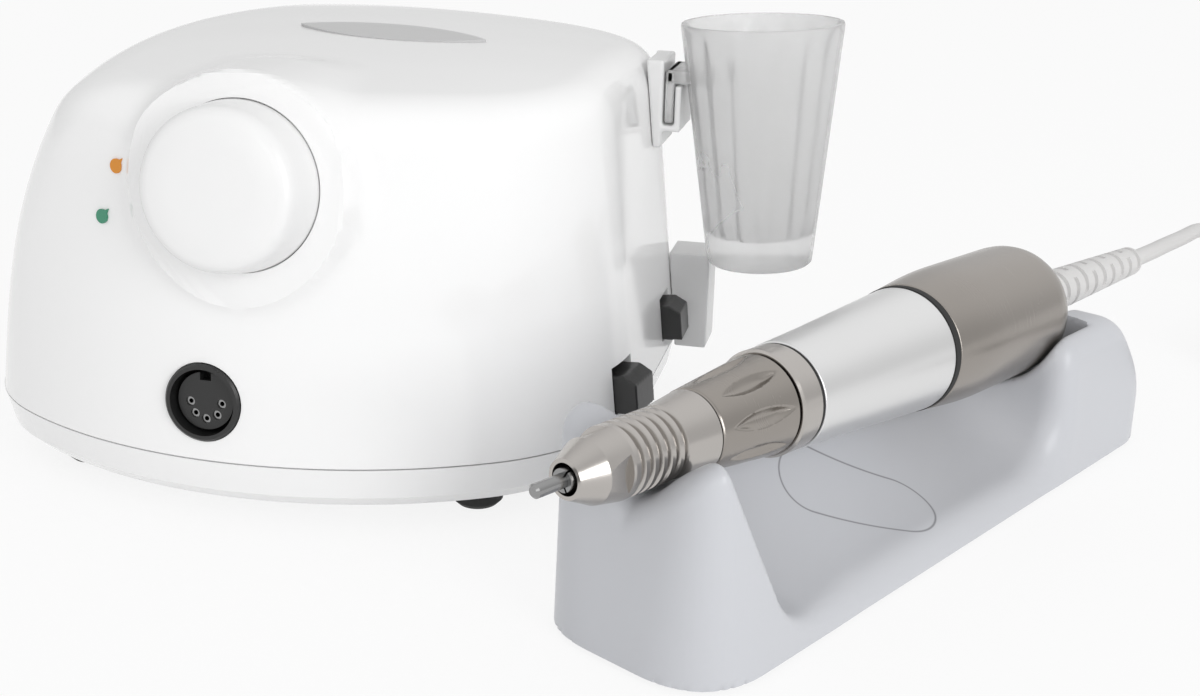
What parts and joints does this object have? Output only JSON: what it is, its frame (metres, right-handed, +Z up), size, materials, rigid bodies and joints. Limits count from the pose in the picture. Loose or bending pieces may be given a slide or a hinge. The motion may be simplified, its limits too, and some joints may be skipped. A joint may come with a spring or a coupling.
{
  "type": "nail drill machine",
  "caption": "Desktop nail drill: rounded control box with speed knob, lamps and bur cup, and a corded handpiece that rests in a separate cradle",
  "frame": {"origin": "on the table under the middle of the whole machine, taken without the free lead, its coil and plug", "axes": "+X to the machine's right, +Y to its back, +Z up; the knob and socket face -Y"},
  "size_m": [0.3505, 0.2661, 0.0892],
  "materials": {
    "body_white": "smooth gloss moulding",
    "knob_white": "smooth satin moulding",
    "black_rubber": "matt rubber",
    "zinc_steel": "plated steel",
    "brass_posts": "plain brass",
    "black_plastic": "fine satin moulding",
    "bright_metal": "bright plated metal",
    "lamp_orange": "clear coloured lens",
    "lamp_green": "clear coloured lens",
    "badge_grey": "smooth inlay",
    "cup_clear": "smoky translucent moulding",
    "winding_copper": "varnished wire",
    "board_green": "circuit board",
    "sink_aluminium": "extruded aluminium",
    "cradle_grey": "smooth gloss moulding",
    "champagne_nickel": "satin champagne nickel",
    "silver_sleeve": "bead-blasted aluminium",
    "cord_grey": "soft matt sheath"
  },
  "bodies": {
    "control_box": {"base_tray": "body_white", "board_screws": "zinc_steel", "board_standoffs": "brass_posts", "control_board": "board_green", "cradle_base": "cradle_grey", "cradle_feet": "black_rubber", "cradle_screws": "zinc_steel", "cradle_shell": "cradle_grey", "cup_bracket": "body_white", "cup_prop": "body_white", "din_contacts": "bright_metal", "din_socket_body": "black_plastic", "direction_switch_body": "black_plastic", "filter_capacitors": "black_plastic", "fuse_holder": "black_plastic", "heat_sink": "sink_aluminium", "led_green": "lamp_green", "led_orange": "lamp_orange", "mains_inlet": "black_plastic", "pedal_jack": "black_plastic", "pot_nut": "zinc_steel", "power_switch_body": "black_plastic", "power_transistor": "black_plastic", "rubber_feet": "black_rubber", "speed_pot": "black_plastic", "top_badge": "badge_grey", "transformer_bracket": "zinc_steel", "transformer_core": "zinc_steel", "transformer_windings": "winding_copper", "tray_screws": "zinc_steel", "upper_housing": "body_white"},
    "speed_knob": {"knob_cap": "knob_white", "pot_shaft": "zinc_steel"},
    "direction_lever_body": {"direction_lever": "black_plastic"},
    "power_lever_body": {"power_lever": "black_plastic"},
    "cup": {"bur_cup": "cup_clear"},
    "handpiece": {"nose_cone": "champagne_nickel", "rear_band": "champagne_nickel", "seal_front": "black_rubber", "front_sleeve": "silver_sleeve", "seal_rear": "black_rubber", "motor_housing": "champagne_nickel", "motor_can": "zinc_steel", "bearings": "bright_metal", "cord_boot": "cord_grey", "handpiece_cord": "cord_grey", "cord_coil": "cord_grey", "cord_tail": "cord_grey", "plug_boot": "cord_grey", "plug_shell": "bright_metal", "plug_insulator": "black_plastic", "plug_pins": "bright_metal"},
    "lock_ring": {"twist_ring": "champagne_nickel"},
    "spindle": {"drive_spindle": "bright_metal", "collet": "bright_metal"},
    "bur": {"bur_shank": "bright_metal"}
  },
  "joints": [
    {"name": "knob_turn", "type": "hinge", "parent": "control_box", "child": "speed_knob", "pos_m": [-0.0502, -0.0384, 0.0656], "axis": [0, 0.9903, -0.1392], "range_deg": [0, 280]},
    {"name": "direction_rock", "type": "hinge", "parent": "control_box", "child": "direction_lever_body", "pos_m": [0.00801, -0.00044, 0.01987], "axis": [-0.1736, -0.9848, 0], "range_deg": [0, 10]},
    {"name": "power_rock", "type": "hinge", "parent": "control_box", "child": "power_lever_body", "pos_m": [0.00844, 0.0428, 0.02087], "axis": [0, -1, 0], "range_deg": [0, 10]},
    {"name": "cup_lift", "type": "slide", "parent": "control_box", "child": "cup", "axis": [0, 0, 1], "range_m": [0, 0.045]},
    {"name": "handpiece_lift", "type": "slide", "parent": "control_box", "child": "handpiece", "axis": [0, 0, 1], "range_m": [0, 0.06]},
    {"name": "ring_twist", "type": "hinge", "parent": "handpiece", "child": "lock_ring", "pos_m": [0.04059, -0.04906, 0.03577], "axis": [0.5013, 0.8649, -0.0262], "range_deg": [0, 40]},
    {"name": "spindle_spin", "type": "hinge", "parent": "handpiece", "child": "spindle", "pos_m": [0.04094, -0.04846, 0.03575], "axis": [0.5013, 0.8649, -0.0262], "continuous": true},
    {"name": "bur_pull", "type": "slide", "parent": "spindle", "child": "bur", "axis": [-0.5013, -0.8649, 0.0262], "range_m": [0, 0.02]}
  ]
}
